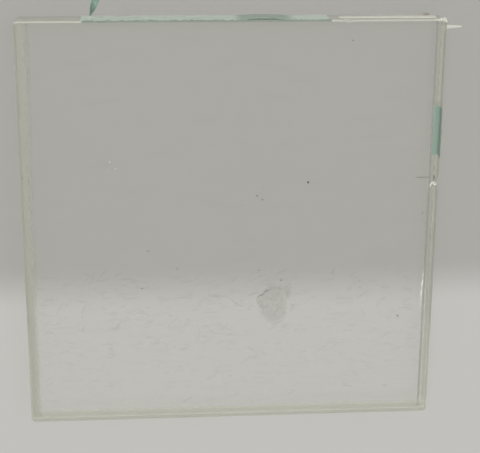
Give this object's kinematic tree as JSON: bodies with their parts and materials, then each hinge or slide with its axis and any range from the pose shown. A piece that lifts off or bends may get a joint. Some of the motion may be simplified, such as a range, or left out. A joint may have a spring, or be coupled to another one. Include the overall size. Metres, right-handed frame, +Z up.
{
  "type": "laminated glass panel",
  "caption": "Flat square panel of laminated safety glass: clear plies bonded by a film, with remnants of green edge tape.",
  "frame": {"origin": "middle of the back face, which the panel lies on", "axes": "+Z up through the thickness, out of the front face; +X to the right and +Y to the taped edge, seen from the front"},
  "size_m": [0.1043, 0.1056, 0.0088],
  "materials": {
    "glass": "clear float glass, lightly scuffed",
    "film": "clear film, cloudy near its edges",
    "tape": "worn green polyester tape"
  },
  "bodies": {
    "root": {"front_glass": "glass", "interlayer": "film", "back_glass": "glass", "top_edge_tape": "tape", "right_edge_tape": "tape"}
  },
  "joints": []
}
